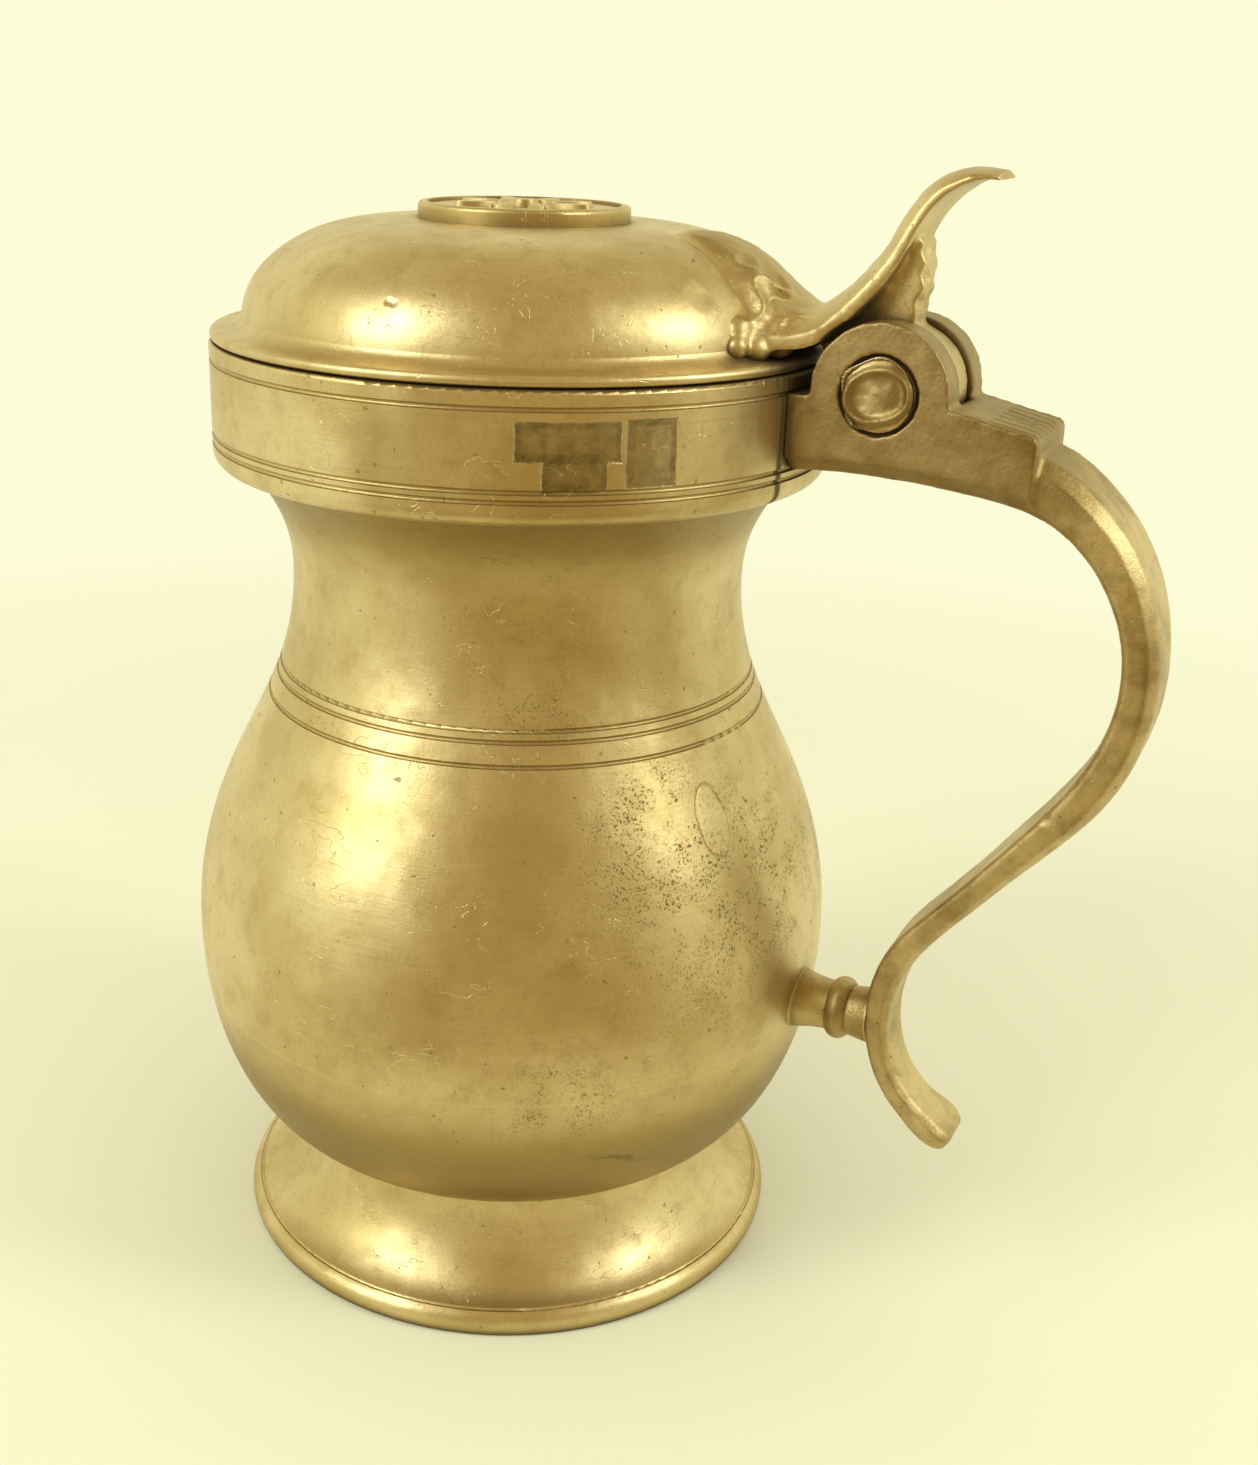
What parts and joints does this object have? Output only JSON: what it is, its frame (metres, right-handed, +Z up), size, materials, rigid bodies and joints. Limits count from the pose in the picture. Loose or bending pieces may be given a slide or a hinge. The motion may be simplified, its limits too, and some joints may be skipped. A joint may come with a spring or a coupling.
{
  "type": "lidded pewter measure",
  "caption": "Baluster-shaped pewter measure on a flared foot, with a strap handle, a domed lid on a pinned hinge and a curled thumbpiece.",
  "frame": {"origin": "centre of the foot's resting ring, on the surface that the measure stands on", "axes": "+Z up along the axis of the body; the handle and the hinge lie along +X; the hinge pin is parallel to Y"},
  "size_m": [0.0892, 0.0612, 0.1037],
  "materials": {
    "pewter": "worn, oxidised cast pewter, turned and once polished, with a warm brownish patina",
    "pewter_plug": "hammered soft pewter plug, duller than the casting round it"
  },
  "bodies": {
    "vessel": {"foot": "pewter", "base_plate": "pewter", "body_lower": "pewter", "body_upper": "pewter", "collar": "pewter", "handle": "pewter", "handle_strut": "pewter", "hinge_pin": "pewter", "hinge_plug_near": "pewter_plug", "hinge_plug_far": "pewter_plug"},
    "lid": {"lid_shell": "pewter", "lid_disc": "pewter", "thumbpiece": "pewter"}
  },
  "joints": [
    {"name": "lid_hinge", "type": "hinge", "parent": "vessel", "child": "lid", "pos_m": [0.0346, 0, 0.0862], "axis": [0, 1, 0], "range_deg": [0, 78]}
  ]
}
